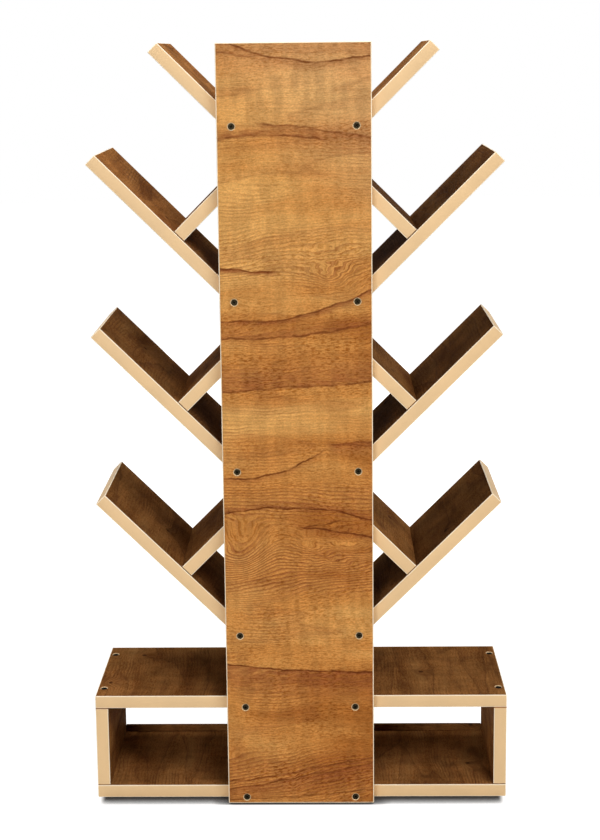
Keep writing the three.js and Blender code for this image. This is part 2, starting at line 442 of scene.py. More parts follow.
def model_thread(screws, screw_length):
    """One helical ridge: a three sided section swept down the shank, pointed at both ends."""
    height = screws.crest - screws.core
    foot = -screw_length + screws.tip
    turns = int((screw_length - screws.plain - screws.tip) / screws.pitch)
    deselect_all()
    bpy.ops.mesh.primitive_circle_add(
        vertices=3, radius=height, fill_type="NOTHING", location=(screws.core, 0, foot),
        rotation=(math.pi / 2, 0, math.pi),
    )
    thread = settle("thread")
    bpy.ops.object.mode_set(mode="EDIT")
    bpy.ops.mesh.select_all(action="SELECT")
    bpy.ops.transform.rotate(
        value=math.pi / 2, orient_axis="Y", center_override=(screws.core, 0, foot)
    )
    bpy.ops.object.mode_set(mode="OBJECT")
    bpy.ops.object.modifier_add(type="SCREW")
    sweep = thread.modifiers[-1]
    sweep.angle = 2 * math.pi
    sweep.screw_offset = screws.pitch
    sweep.iterations = turns
    sweep.steps = 18
    sweep.render_steps = 18
    bpy.ops.object.modifier_apply(modifier=sweep.name)
    bpy.ops.object.mode_set(mode="EDIT")
    bpy.ops.mesh.select_all(action="SELECT")
    bpy.ops.mesh.fill_holes(sides=0)
    quarter = screws.pitch / 4
    thread_top = foot + turns * screws.pitch
    for is_end in (lambda z: z < foot + quarter, lambda z: z > thread_top - quarter):
        pick(thread, "faces", lambda part: len(part.verts) == 3 and is_end(part.calc_center_median().z))
        bpy.ops.mesh.merge(type="COLLAPSE")
    finish_edit()
    thread.data.materials.append(material("blackened_steel"))
    return thread


def model_screw(screws, screw_length):
    """The master screw, turned about Z with the top of its head at Z = 0 and its tip down."""
    edge = 0.12 * MM  # chamfer round the head
    step_down = 0.5 * MM  # length of the cone from the plain shank to the thread's core
    point = 0.1 * MM  # radius of the tip's end
    cone_foot = -screws.rim - (screws.head - screws.shank)
    thread_top = -screws.plain
    stations = [
        (screws.head - edge, 0), (screws.head, -edge), (screws.head, -screws.rim),
        (screws.shank, cone_foot), (screws.shank, thread_top),
        (screws.core, thread_top - step_down), (screws.core, -screw_length + screws.tip),
        (point, -screw_length),
    ]
    screw = turned_piece("master_screw", stations, sides=32)
    screw.data.materials.append(material("blackened_steel"))
    carve(screw, model_thread(screws, screw_length), "UNION")
    mouth = 1 * MM  # how far the slot's cutter stands above the head
    slope = (screws.recess_reach - screws.recess_foot) / screws.recess_depth
    reach = screws.recess_reach + mouth * slope
    for quarter in (0, 1):
        place = Matrix.Rotation(quarter * math.pi / 2, 4, "Z")
        place.translation = (0, 0, (mouth - screws.recess_depth) / 2)
        slot = add_block("slot", place, (2 * reach, screws.recess_slot, screws.recess_depth + mouth))
        # The slot's walls get the recess steel, whose darker colour is painted shade
        slot.data.materials.append(material("recess_steel"))
        bpy.ops.object.mode_set(mode="EDIT")
        pick(slot, "faces", lambda part: part.normal.z < -0.9)
        narrower = [1, 1, 1]
        narrower[quarter] = screws.recess_foot / reach
        bpy.ops.transform.resize(value=narrower, center_override=(0, 0, -screws.recess_depth))
        bpy.ops.object.mode_set(mode="OBJECT")
        carve(screw, slot)
    make_active(screw)
    bpy.ops.object.mode_set(mode="EDIT")
    finish_edit(35)
    return screw


SCREW_SAMPLES = 40  # points looked at along a screw to see whether it passes through a board


def screws_through(place, size, along_board):
    """The screws that pass through a board: all of them, or only those that enter by its edge."""
    to_board = place.inverted()
    found = []
    for node in SCREW_NODES:
        down = screw_direction(node)
        if along_board and abs(down.dot(place.col[2].xyz)) > 0.5:
            continue
        head, tip = (to_board @ end for end in screw_ends(node))
        points = [head.lerp(tip, i / SCREW_SAMPLES) for i in range(SCREW_SAMPLES + 1)]
        inside = [all(abs(at[axis]) < size[axis] / 2 for axis in range(3)) for at in points]
        if sum(inside) > 1:
            found.append(node)
    return found


def screw_ends(node):
    """The middle of a screw's head and the point of its tip."""
    head = screw_place(node, 0).to_translation()
    down = screw_direction(node)
    low, high = extent(node, down)
    return head, head + down * (high - low)


def drill(piece, nodes, hole):
    """Drills the piece for each of those screws at one go."""
    if not nodes:
        return
    drills = [copy_of(hole, f"drill_{node}", screw_place(node, 0)) for node in nodes]
    make_active(drills[0])
    for part in drills:
        part.select_set(True)
    bpy.ops.object.join()
    carve(piece, bpy.context.active_object)
    make_active(piece)
    bpy.ops.object.shade_smooth_by_angle(angle=math.radians(30))


def lay_print(piece, origin, grain, across):
    """Writes the UV map that lays the wood print on a piece, in metres from the origin."""
    mesh = piece.data
    layer = mesh.uv_layers.get(PRINT_UV) or mesh.uv_layers.new(name=PRINT_UV)
    for loop in mesh.loops:
        reach = mesh.vertices[loop.vertex_index].co - origin
        layer.data[loop.index].uv = (reach.dot(grain), reach.dot(across))


def paint_light_on_print(piece, node):
    """Notes on the piece a gain on its print that is painted light and shade: paler where its face takes
    more light, darker where it lies in shade.
    """
    pale = piece.data.attributes.new(PAINTED_LIGHT, "FLOAT", "POINT")
    for point in pale.data:
        point.value = PAINTED_LIGHT_BY_BOARD.get(node, 1.0)


def print_origin(node, place):
    """A place on the sheet of print for each board, so that no two boards look alike."""
    chance = random.Random("print " + node)
    sheet = 4  # metres
    shift = place.to_3x3() @ Vector((chance.uniform(0, sheet), chance.uniform(0, sheet), 0))
    return place.to_translation() - shift


def make_board(context, node, finish, hole):
    """Models one board and its banding where the frame has it, drills them and lays the print."""
    boards = context.scene.bookshelf_boards
    place, size = board_place(node)
    bare = bare_ends(node)
    body = model_body(node + "_laminated", place, size, bare, boards, finish)
    drill(body, screws_through(place, size, along_board=False), hole)
    ring = model_banding(node + "_banding", place, size, bare, boards)
    drill(ring, screws_through(place, size, along_board=True), hole)
    grain, across = place.col[1].xyz, place.col[0].xyz
    origin = print_origin(node, place)
    if finish == "trunk_laminate":
        origin, across = Vector((0, 0, 0)), -across
    lay_print(body, origin, grain, across)
    paint_light_on_print(body, node)
    declare(body, finish, node)
    declare(ring, "edge_banding")


def make_boards(context, nodes, finish="shelf_laminate"):
    """Models like boards with one drill shape, which is thrown away at the end."""
    hole = model_hole(context.scene.bookshelf_screws, screw_length(), board_thickness())
    for node in nodes:
        make_board(context, node, finish, hole)
    make_active(hole)
    bpy.ops.object.delete()


def screw_length():
    low, high = extent("base_top_screw_left_front", Vector((0, 0, 1)))
    return high - low


def board_thickness():
    low, high = extent("base_top_board", Vector((0, 0, 1)))
    return high - low


# Finishes

PAINTED_LIGHT = "batch"  # attribute: painted light and shade, a gain on each board's print that makes it paler or darker as the light falls on it
# Painted light and shade: each board's print is made paler where its face takes more light and darker
# where it lies in shade, the right boards and the rear lip most of all
PAINTED_LIGHT_BY_BOARD = {
    "tier_4_long_board_left": 1.12,
    "tier_3_long_board_left": 1.3,
    "tier_3_long_board_right": 0.54,
    "tier_2_long_board_left": 0.83,
    "tier_2_long_board_right": 0.53,
    "tier_1_long_board_left": 0.9,
    "tier_1_long_board_right": 0.57,
    "tier_3_short_board_right": 0.5,
    "tier_2_short_board_right": 0.85,
    "base_top_board": 1.05,
    "base_bottom_board": 1.12,
    "base_side_right": 1.25,
    "base_rear_lip": 0.75,
}


def feed(tree, node, inputs):
    """Gives a node its inputs: each is a value, or the socket that it is linked from."""
    for key, value in inputs.items():
        if isinstance(value, bpy.types.NodeSocket):
            tree.links.new(value, node.inputs[key])
        else:
            node.inputs[key].default_value = value


def add(tree, kind, inputs=None, **settings):
    """Adds a node with its settings and links, and returns its first live output."""
    made = tree.nodes.new("ShaderNode" + kind)
    for name, value in settings.items():
        setattr(made, name, value)
    feed(tree, made, inputs or {})
    return next((socket for socket in made.outputs if socket.enabled), None)


def stretched(tree, at, along, across, detail=0.0):
    """Noise in patches about this many millimetres along and across the grain, from 0 to 1."""
    scaled = add(tree, "Mapping", {"Vector": at, "Scale": (1 / along, 1 / across, 1)})
    return add(
        tree, "TexNoise", {"Vector": scaled, "Scale": 1.0, "Detail": detail, "Roughness": 0.55},
        noise_dimensions="2D",
    )


SMOOTHLY = {"interpolation_type": "SMOOTHSTEP"}  # settings of a map range that eases in and out
MULTIPLIED = {"data_type": "RGBA", "blend_type": "MULTIPLY"}  # settings of a mix that multiplies


def span(start, end, low=0.0, high=1.0):
    """The inputs of a map range that turns start into low and end into high."""
    return {"From Min": start, "From Max": end, "To Min": low, "To Max": high}


def patches(tree, at, along, across, limits, detail=0.0):
    """Patches of the print, this many millimetres long and wide, eased between limits of the noise."""
    noise = stretched(tree, at, along, across, detail)
    return add(tree, "MapRange", {"Value": noise, **span(*limits)}, **SMOOTHLY)


class Vein(NamedTuple):
    """A thin dark line of the print, with a stain that fades out above (side 1) or below it (side -1).

    Its heights on the trunk's left edge, middle and right edge are in millimetres above the floor.
    Start and end say where it begins and stops, from -1 at the left edge to 1 at the right.
    """

    left: float
    middle: float
    right: float
    line: float
    stain: float = 0.0
    depth: float = 10
    side: int = -1
    start: float = -1.2
    end: float = 1.2


TRUNK_VEINS = (
    Vein(1072, 1041, 1048, line=0.8, stain=0.5, depth=16),
    Vein(1052, 1043, 1036, line=0.4, stain=0.5, depth=7, side=1, end=-0.5),
    Vein(964, 955, 940, line=0.5, stain=0.6, depth=22, start=-0.45),
    Vein(938, 942, 922, line=0.6, stain=0.7, depth=18, side=1, end=0.4),
    Vein(766, 758, 754, line=0.85, stain=0.9, depth=9, end=-0.25),
    Vein(694, 700, 736, line=0.8, stain=0.75, depth=14),
    Vein(670, 674, 690, line=0.7, stain=0.6, depth=22, side=1),
    Vein(596, 603, 610, line=0.6, stain=0.7, depth=58, side=1),
    Vein(475, 494, 572, line=0.9, stain=0.4, depth=12, end=0.36),
    Vein(521, 523, 525, line=0.35, stain=0.7, depth=24, start=0.42),
    Vein(425, 433, 415, line=0.95, stain=0.6, depth=14, side=1),
    Vein(412, 406, 391, line=0.95, stain=0.4, depth=12, start=0.0),
    Vein(395, 405, 421, line=0.8, start=0.0, end=0.6),
    Vein(208, 198, 195, line=1.0, stain=0.8, depth=60),
    Vein(31, 48, 69, line=0.75, stain=0.35, depth=8),
    Vein(21, 39, 60, line=0.85, stain=0.6, depth=34),
    Vein(5, 11, 21, line=0.65),
)
RING_SPACING = 4.8  # millimetres from one growth ring to the next
KNOT_SPREAD = 150  # millimetres, about, from one knot to the next
TRUNK_HALF_WIDTH = 103
TRUNK_DEEPENING = -0.08 / TRUNK_HALF_WIDTH  # the wood is a little deeper towards the right
# Height on the trunk, half depth and strength of the print's broad features
TRUNK_RING_ZONES = ((782, 50, 0.45), (440, 32, 0.8), (345, 42, 1.0), (42, 42, 0.9))
TRUNK_LEANING_ZONES = ((782, 60, 0.1), (690, 30, 0.12), (335, 40, 0.16), (45, 45, 0.18))
TRUNK_TONE_ZONES = (
    (1047, 22, 0.1), (994, 40, 0.41), (942, 20, 0.02), (891, 40, 0.3), (813, 50, 0.4), (750, 23, 0.18),
    (715, 18, 0.2), (556, 28, 0.36), (428, 15, -0.12), (402, 15, -0.2), (270, 30, 0.24), (228, 19, 0.06),
    (186, 12, -0.2), (152, 28, -0.15), (95, 38, -0.05), (30, 36, -0.06),
)
TRUNK_CALM_ZONES = ((1000, 50, 0.75), (880, 40, 0.5))  # where the rings hardly show
TRUNK_SHIMMER_ZONES = ((998, 38, 0.04), (270, 40, 0.02), (170, 40, 0.02))
TRUNK_PORE_ZONES = ((780, 34, 0.6), (630, 40, 0.35), (550, 30, -0.25), (260, 30, 0.4), (30, 34, 0.3))
# Place across and up the trunk, radius and strength of the round figures, in millimetres
TRUNK_EYES = ((-80, 378, 58, 34), (48, 756, 40, 9))
TRUNK_CURLS = ((52, 758, 72, 13), (30, 378, 63, 15), (80, 380, 54, 14))
TRUNK_RINGED = ((-70, 378, 50, 0.2), (60, 765, 50, 0.3))


def sum_of(tree, terms):
    """Adds up a list of values."""
    total = terms[0]
    for term in terms[1:]:
        total = add(tree, "Math", {0: total, 1: term}, operation="ADD")
    return total


def zones(tree, across, places):
    """Bands across the trunk at given heights, each fading out above and below, added up."""
    bands = []
    for height, half, strength in places:
        off = add(tree, "Math", {0: across, 1: height}, operation="SUBTRACT")
        off = add(tree, "Math", {0: off}, operation="ABSOLUTE")
        fade = span(0.4 * half, 1.3 * half, strength, 0.0)
        bands.append(add(tree, "MapRange", {"Value": off, **fade}, **SMOOTHLY))
    return sum_of(tree, bands)


def spots(tree, at, places):
    """Round spots on the trunk, each fading out from its middle, added up."""
    hills = []
    for x, z, radius, strength in places:
        away = add(tree, "VectorMath", {0: at, 1: (x, z, 0)}, operation="DISTANCE")
        fade = span(0.0, radius, strength, 0.0)
        hills.append(add(tree, "MapRange", {"Value": away, **fade}, **SMOOTHLY))
    return sum_of(tree, hills)


def vein_marks(tree, off, line, line_fade, stain, depth, feather):
    """A dark line where a value crosses 0, and a stain above it, as (line, stain).

    The line fades out between two distances. The stain fades out over its depth, and begins
    softly, within the feather below the line.
    """
    distance = add(tree, "Math", {0: off}, operation="ABSOLUTE")
    dark = add(tree, "MapRange", {"Value": distance, **span(*line_fade, line, 0.0)}, **SMOOTHLY)
    fade = add(tree, "MapRange", {"Value": off, **span(0.0, depth, stain, 0.0)}, **SMOOTHLY)
    edge = add(tree, "MapRange", {"Value": off, **span(-feather, 0.0)}, **SMOOTHLY)
    return dark, add(tree, "Math", {0: fade, 1: edge}, operation="MULTIPLY")


def trunk_veins(tree, along, across, wobble):
    """The named veins of the trunk, as (line, stain) from 0 to 1."""
    position = add(tree, "Math", {0: along, 1: TRUNK_HALF_WIDTH}, operation="DIVIDE")
    totals = [0.0, 0.0]
    for vein in TRUNK_VEINS:
        rise = (vein.right - vein.left) / 2
        bend = (vein.right + vein.left) / 2 - vein.middle
        slope = add(tree, "Math", {0: position, 1: bend, 2: rise}, operation="MULTIPLY_ADD")
        height = add(tree, "Math", {0: position, 1: slope, 2: vein.middle}, operation="MULTIPLY_ADD")
        level = add(tree, "Math", {0: across, 1: height}, operation="SUBTRACT")
        off = add(tree, "Math", {0: level, 1: wobble}, operation="ADD")
        off = add(tree, "Math", {0: off, 1: vein.side}, operation="MULTIPLY")
        start = span(vein.start - 0.08, vein.start + 0.08)
        begun = add(tree, "MapRange", {"Value": position, **start}, **SMOOTHLY)
        end = span(vein.end - 0.1, vein.end + 0.1, 1.0, 0.0)
        not_over = add(tree, "MapRange", {"Value": position, **end}, **SMOOTHLY)
        window = add(tree, "Math", {0: begun, 1: not_over}, operation="MULTIPLY")
        marks = vein_marks(tree, off, vein.line, (0.3, 2.0), vein.stain, vein.depth, 3.0)
        for i, mark in enumerate(marks):
            mark = add(tree, "Math", {0: mark, 1: window}, operation="MULTIPLY")
            totals[i] = add(tree, "Math", {0: mark, 1: totals[i]}, operation="MAXIMUM")
    return totals


def veins(tree, at, bent, along, across, on_trunk):
    """Veins where a slow noise crosses its middle, and the trunk's named ones, as (line, stain)."""
    drift = stretched(tree, bent, along=420, across=64, detail=1.0)
    crossing = add(tree, "Math", {0: drift, 1: 0.55}, operation="SUBTRACT")
    line, stain = (0.15, 0.2) if on_trunk else (0.25, 0.35)
    marks = vein_marks(tree, crossing, line, (0.002, 0.013), stain, 0.13, 0.02)
    if on_trunk:
        wobble = stretched(tree, at, along=34, across=22, detail=3.0)
        wobble = add(tree, "Math", {0: wobble, 1: 9.0, 2: -4.5}, operation="MULTIPLY_ADD")
        named = trunk_veins(tree, along, across, wobble)
        marks = [add(tree, "Math", {0: a, 1: b}, operation="MAXIMUM") for a, b in zip(marks, named)]
    worn = patches(tree, at, 18, 18, (0.3, 0.55, 0.5, 1.0))
    patchy = patches(tree, bent, 24, 4, (0.3, 0.6, 0.45, 1.0), detail=2.0)
    return [
        add(tree, "Math", {0: mark, 1: gaps}, operation="MULTIPLY")
        for mark, gaps in zip(marks, (worn, patchy))
    ]


def knots(tree, at):
    """Small dark knots, a hand's width or more apart, as (how far the grain goes round them, mask)."""
    scaled = add(tree, "Mapping", {"Vector": at, "Scale": (1 / KNOT_SPREAD, 1 / KNOT_SPREAD, 1)})
    nearest = add(tree, "TexVoronoi", {"Vector": scaled, "Scale": 1.0}, voronoi_dimensions="2D")
    away = add(tree, "Math", {0: nearest, 1: KNOT_SPREAD}, operation="MULTIPLY")
    detour = add(tree, "MapRange", {"Value": away, **span(0.0, 22.0, 12.0, 0.0)}, **SMOOTHLY)
    return detour, add(tree, "MapRange", {"Value": away, **span(1.5, 5.0, 0.8, 0.0)}, **SMOOTHLY)


def trunk_figures(tree, at, along, across):
    """How far the trunk's leaning grain and its eyes are off the straight course, in millimetres."""
    lean = zones(tree, across, TRUNK_LEANING_ZONES)
    lean = add(tree, "Math", {0: lean, 1: along}, operation="MULTIPLY")
    return [add(tree, "Math", {0: lean, 1: -1.0}, operation="MULTIPLY"), spots(tree, at, TRUNK_EYES)]


def grain_field(tree, at, across, ripple_height, figures):
    """The height across the grain, carried off its straight course, in millimetres."""
    swing = stretched(tree, at, along=160, across=60, detail=1.0)
    swing = add(tree, "Math", {0: swing, 1: 20.0}, operation="MULTIPLY")
    ripple = stretched(tree, at, along=30, across=15, detail=1.5)
    ripple = add(tree, "Math", {0: ripple, 1: ripple_height}, operation="MULTIPLY")
    return sum_of(tree, [across, swing, ripple, *figures])


def growth_rings(tree, at, across, field, on_trunk):
    """Growth rings, each darkening towards a sharp edge, where they show."""
    phase = add(tree, "Math", {0: field, 1: 1 / RING_SPACING}, operation="MULTIPLY")
    phase = add(tree, "Math", {0: phase}, operation="FRACT")
    ring = add(tree, "MapRange", {"Value": phase, **span(0.35, 0.95)}, **SMOOTHLY)
    shown = patches(tree, at, 150, 60, (0.45, 0.75, 0.1, 0.6), detail=1.0)
    if on_trunk:
        calm = zones(tree, across, TRUNK_CALM_ZONES)
        ringed = add(tree, "Math", {0: 1.0, 1: calm}, operation="SUBTRACT")
        shown = add(tree, "Math", {0: shown, 1: ringed}, operation="MULTIPLY")
        figured = zones(tree, across, TRUNK_RING_ZONES)
        figured = add(tree, "Math", {0: figured, 1: spots(tree, at, TRUNK_RINGED)})
        shown = add(tree, "Math", {0: shown, 1: figured}, operation="MAXIMUM")
    return add(tree, "Math", {0: ring, 1: shown}, operation="MULTIPLY")


def ground(tree, bent, along, across, tones, on_trunk):
    """Light and deep wood, as (colour, how light it is)."""
    light, mid, deep, painted_sheen_tone = tones
    tone = stretched(tree, bent, along=190, across=40, detail=2.0)
    if on_trunk:
        aside = add(tree, "Math", {0: along, 1: TRUNK_DEEPENING}, operation="MULTIPLY")
        tone = sum_of(tree, [tone, aside, zones(tree, across, TRUNK_TONE_ZONES)])
    paler = add(tree, "MapRange", {"Value": tone, **span(0.5, 1.05)}, **SMOOTHLY)
    deeper = add(tree, "MapRange", {"Value": tone, **span(0.52, 0.18)}, **SMOOTHLY)
    paint = add(tree, "Mix", {0: paler, 6: mid, 7: light}, data_type="RGBA")
    paint = add(tree, "Mix", {0: deeper, 6: paint, 7: deep}, data_type="RGBA")
    if on_trunk:
        # Painted sheen: the top of the trunk, more so to the right, is mixed towards the greyer tone
        # where light from above sheens on it
        aloft = add(tree, "Math", {0: along, 1: 0.8, 2: across}, operation="MULTIPLY_ADD")
        painted_sheen = add(tree, "MapRange", {"Value": aloft, **span(840, 1080, 0.0, 0.3)}, **SMOOTHLY)
        paint = add(tree, "Mix", {0: painted_sheen, 6: paint, 7: painted_sheen_tone}, data_type="RGBA")
    return paint, tone


def printed_pores(tree, bent, across, tone, on_trunk):
    """Pores: dashes about 6 mm long, printed all over, fewer where the wood is pale."""
    pores = patches(tree, bent, 6.5, 1.8, (0.44, 0.68), detail=1.0)
    crowd = patches(tree, bent, 60, 20, (0.3, 0.7, 0.6, 1.0))
    pores = add(tree, "Math", {0: pores, 1: crowd}, operation="MULTIPLY")
    fewer = add(tree, "MapRange", {"Value": tone, **span(0.25, 0.95, 1.15, 0.5)}, **SMOOTHLY)
    pores = add(tree, "Math", {0: pores, 1: fewer}, operation="MULTIPLY")
    if on_trunk:
        denser = add(tree, "Math", {0: zones(tree, across, TRUNK_PORE_ZONES), 1: 1.0})
        pores = add(tree, "Math", {0: pores, 1: denser}, operation="MULTIPLY")
    return pores


def shimmer(tree, at, across, on_trunk):
    """Shimmer: paler and darker bars that stand across the grain."""
    swell = patches(tree, at, 14, 50, (0.32, 0.68, -1.0, 1.0))
    height = 0.07
    if on_trunk:
        height = add(tree, "Math", {0: zones(tree, across, TRUNK_SHIMMER_ZONES), 1: height})
    return add(tree, "Math", {0: swell, 1: height, 2: 1.0}, operation="MULTIPLY_ADD")


def wood_print(tree, tones, on_trunk):
    """The printed decor. Returns its colour and the height of its embossing."""
    light, mid, deep, stain_tone, vein_tone, pore_tint, painted_sheen_tone = tones
    uv = add(tree, "UVMap", uv_map=PRINT_UV)
    at = add(tree, "VectorMath", {0: uv, "Scale": 1 / MM}, operation="SCALE")
    split = add(tree, "SeparateXYZ", {0: at}).node.outputs
    along, across = split["X"], split["Y"]
    if on_trunk:
        figures = trunk_figures(tree, at, along, across)
        ripple_height = add(tree, "Math", {0: spots(tree, at, TRUNK_CURLS), 1: 4.0})
    else:
        detour, knot = knots(tree, at)
        figures, ripple_height = [detour], 5.0
    field = grain_field(tree, at, across, ripple_height, figures)
    bent = add(tree, "CombineXYZ", {0: along, 1: field})

    ring = growth_rings(tree, at, across, field, on_trunk)
    paint, tone = ground(tree, bent, along, across, (light, mid, deep, painted_sheen_tone), on_trunk)
    pores = printed_pores(tree, bent, across, tone, on_trunk)
    flecks = patches(tree, bent, 12, 2.6, (0.68, 0.78), detail=1.0)
    fibres = patches(tree, bent, 45, 3.0, (0.25, 0.75, 0.91, 1.09), detail=2.0)
    grit = patches(tree, at, 2.6, 2.0, (0.25, 0.75, 0.9, 1.1), detail=1.0)
    line, stain = veins(tree, at, bent, along, across, on_trunk)

    layers = [
        ("MIX", stain, 1.0, stain_tone),
        ("MIX", ring, 0.85, stain_tone),
        ("MULTIPLY", pores, 0.8 if on_trunk else 0.65, pore_tint),
        ("MIX", flecks, 0.15, vein_tone),
        ("MIX", line, 1.0, vein_tone),
    ]
    gains = [fibres, grit, shimmer(tree, at, across, on_trunk)]
    if not on_trunk:
        blots = patches(tree, bent, 55, 26, (0.52, 0.72), detail=3.0)
        layers += [("MIX", blots, 0.45, stain_tone), ("MIX", knot, 1.0, vein_tone)]
        gains.append(patches(tree, at, 80, 60, (0.3, 0.7, 0.86, 1.14), detail=2.0))
        # Painted light and shade: the board's own gain, paler or darker as the light falls on it
        gains.append(add(tree, "Attribute", attribute_name=PAINTED_LIGHT).node.outputs["Fac"])
    for blend, mask, strength, ink in layers:
        cover = add(tree, "Math", {0: mask, 1: strength}, operation="MULTIPLY")
        paint = add(tree, "Mix", {0: cover, 6: paint, 7: ink}, data_type="RGBA", blend_type=blend)
    for gain in gains:
        paint = add(tree, "Mix", {0: 1.0, 6: paint, 7: gain}, **MULTIPLIED)
    relief = add(tree, "Math", {0: pores, 1: -0.7, 2: fibres}, operation="MULTIPLY_ADD")
    return paint, relief


def laminate(name, tones, sheen, on_trunk=False):
    """Melamine laminate: printed paper pressed with a lightly embossed plate on particle board.

    The eye sees the printed wood, dull on the shelves and faintly shiny on the trunk, with fine pores
    pressed into it.
    """
    made, tree, shader = new_material(name)
    paint, relief = wood_print(tree, tones, on_trunk)
    bump = add(tree, "Bump", {"Height": relief, "Strength": 0.25, "Distance": 0.1 * MM})
    dull = add(tree, "MapRange", {"Value": relief, **span(0.3, 1.1, 0.75, 0.62)}, **SMOOTHLY)
    feed(tree, shader, {"Base Color": paint, "Normal": bump, "Roughness": dull})
    feed(tree, shader, {"Specular IOR Level": sheen})
    return made


def new_material(name):
    """A material with a Principled shader, as (material, node tree, shader)."""
    made = bpy.data.materials.new(name)
    made.use_nodes = True
    return made, made.node_tree, made.node_tree.nodes["Principled BSDF"]


def grey(value):
    return (value, value, value, 1)


def object_place(tree):
    """Object coordinates in millimetres."""
    place = add(tree, "TexCoord").node.outputs["Object"]
    return add(tree, "VectorMath", {0: place, "Scale": 1 / MM}, operation="SCALE")


def banding_plastic(name, tone):
    """Edge banding: extruded plastic strip in one colour, scraped and buffed after it is glued on.

    The eye sees a plain matt cream with hardly any mottling.
    """
    made, tree, shader = new_material(name)
    at = object_place(tree)
    cloud = add(tree, "TexNoise", {"Vector": at, "Scale": 1 / 45, "Detail": 2.0})
    speck = add(tree, "TexNoise", {"Vector": at, "Scale": 1 / 0.7, "Detail": 1.0})
    gain = add(tree, "MapRange", {"Value": cloud, **span(0.25, 0.75, 0.96, 1.03)}, **SMOOTHLY)
    grit = add(tree, "MapRange", {"Value": speck, **span(0.3, 0.7, 0.985, 1.015)}, **SMOOTHLY)
    gain = add(tree, "Math", {0: gain, 1: grit}, operation="MULTIPLY")
    paint = add(tree, "Mix", {0: 1.0, 6: tone, 7: gain}, **MULTIPLIED)
    bump = add(tree, "Bump", {"Height": speck, "Strength": 0.15, "Distance": 0.05 * MM})
    dull = add(tree, "MapRange", {"Value": cloud, **span(0.2, 0.8, 0.48, 0.58)}, **SMOOTHLY)
    feed(tree, shader, {"Base Color": paint, "Normal": bump, "Roughness": dull})
    feed(tree, shader, {"Specular IOR Level": 0.35})
    return made


def particle_board(name, tone):
    """Particle board: pressed wood chips about 1.5 mm long, cut open by the countersink.

    The eye sees a rough pale ring of chips round each screw.
    """
    made, tree, shader = new_material(name)
    at = object_place(tree)
    chips = add(tree, "TexVoronoi", {"Vector": at, "Scale": 1 / 1.5})
    chip_tone = add(tree, "SeparateColor", {0: chips.node.outputs["Color"]})
    gain = add(tree, "MapRange", {"Value": chip_tone, **span(0.0, 1.0, 0.72, 1.12)}, **SMOOTHLY)
    paint = add(tree, "Mix", {0: 1.0, 6: tone, 7: gain}, **MULTIPLIED)
    bump = add(tree, "Bump", {"Height": chips, "Strength": 0.5, "Distance": 0.2 * MM})
    feed(tree, shader, {"Base Color": paint, "Normal": bump, "Roughness": 0.9})
    feed(tree, shader, {"Specular IOR Level": 0.2})
    return made


def blackened_steel(name, tone):
    """Hardened steel, blackened in a phosphate bath.

    The eye sees a dark grey metal with a soft, slightly blotchy shine.
    """
    made, tree, shader = new_material(name)
    at = object_place(tree)
    blotch = add(tree, "TexNoise", {"Vector": at, "Scale": 1 / 1.6, "Detail": 3.0})
    gain = add(tree, "MapRange", {"Value": blotch, **span(0.3, 0.7, 0.7, 1.3)}, **SMOOTHLY)
    paint = add(tree, "Mix", {0: 1.0, 6: tone, 7: gain}, **MULTIPLIED)
    dull = add(tree, "MapRange", {"Value": blotch, **span(0.25, 0.75, 0.36, 0.52)}, **SMOOTHLY)
    feed(tree, shader, {"Base Color": paint, "Metallic": 0.85, "Roughness": dull})
    feed(tree, shader, {"Specular Tint": tone})  # keeps it dark at a grazing angle too
    return made


def sees_background(tree):
    """1 for the rays that find the background white: the camera's, and those off or through a shine."""
    path = add(tree, "LightPath").node.outputs
    seen = add(tree, "Math", {0: path["Is Camera Ray"], 1: path["Is Glossy Ray"]}, operation="MAXIMUM")
    return add(tree, "Math", {0: seen, 1: path["Is Transmission Ray"]}, operation="MAXIMUM")


def floor_paint(name):
    """Matt white studio floor.

    The eye sees it white, with a painted contact shadow where the object stands close by, most of it
    along the front edges.
    """
    made, tree, shader = new_material(name)
    tree.nodes.remove(shader)
    towards = add(tree, "CombineXYZ", {1: 0.95, 2: 0.3})
    probe = {"Distance": 26 * MM, "Normal": towards}
    contact = add(tree, "AmbientOcclusion", probe, samples=16).node.outputs["AO"]
    shade = add(tree, "MapRange", {"Value": contact, **span(0.45, 0.96)})
    shade = add(tree, "Math", {0: shade, 1: 1.4}, operation="POWER")
    split = add(tree, "SeparateXYZ", {0: object_place(tree)}).node.outputs
    # The painted contact shadow, from ambient occlusion, is kept within the object's width and behind its
    # front edge
    side, front = cad_high.x / MM, cad_low.y / MM
    off_middle = add(tree, "Math", {0: split["X"]}, operation="ABSOLUTE")
    within = add(tree, "MapRange", {"Value": off_middle, **span(side - 12, side, 1.0, 0.0)}, **SMOOTHLY)
    behind = add(tree, "MapRange", {"Value": split["Y"], **span(front - 9, front - 2)}, **SMOOTHLY)
    in_place = add(tree, "Math", {0: within, 1: behind}, operation="MULTIPLY")
    lighter = add(tree, "Math", {0: shade, 1: 1.0}, operation="SUBTRACT")
    shade = add(tree, "Math", {0: lighter, 1: in_place, 2: 1.0}, operation="MULTIPLY_ADD")
    away = add(tree, "VectorMath", {0: object_place(tree)}, operation="LENGTH")
    matt = add(tree, "BsdfDiffuse", {"Color": grey(0.75)})
    lit = add(tree, "Mix", {0: shade, 6: grey(0.05), 7: grey(0.5)}, data_type="RGBA")
    lit = add(tree, "BsdfDiffuse", {"Color": lit})
    strength = add(tree, "MapRange", {"Value": away, **span(500, 1500, 0.88, 1.0)}, **SMOOTHLY)
    glow = add(tree, "Emission", {"Color": shade, "Strength": strength})
    seen = add(tree, "AddShader", {0: lit, 1: glow})
    shown = add(tree, "MixShader", {0: sees_background(tree), 1: matt, 2: seen})
    feed(tree, tree.nodes["Material Output"], {"Surface": shown})
    return made


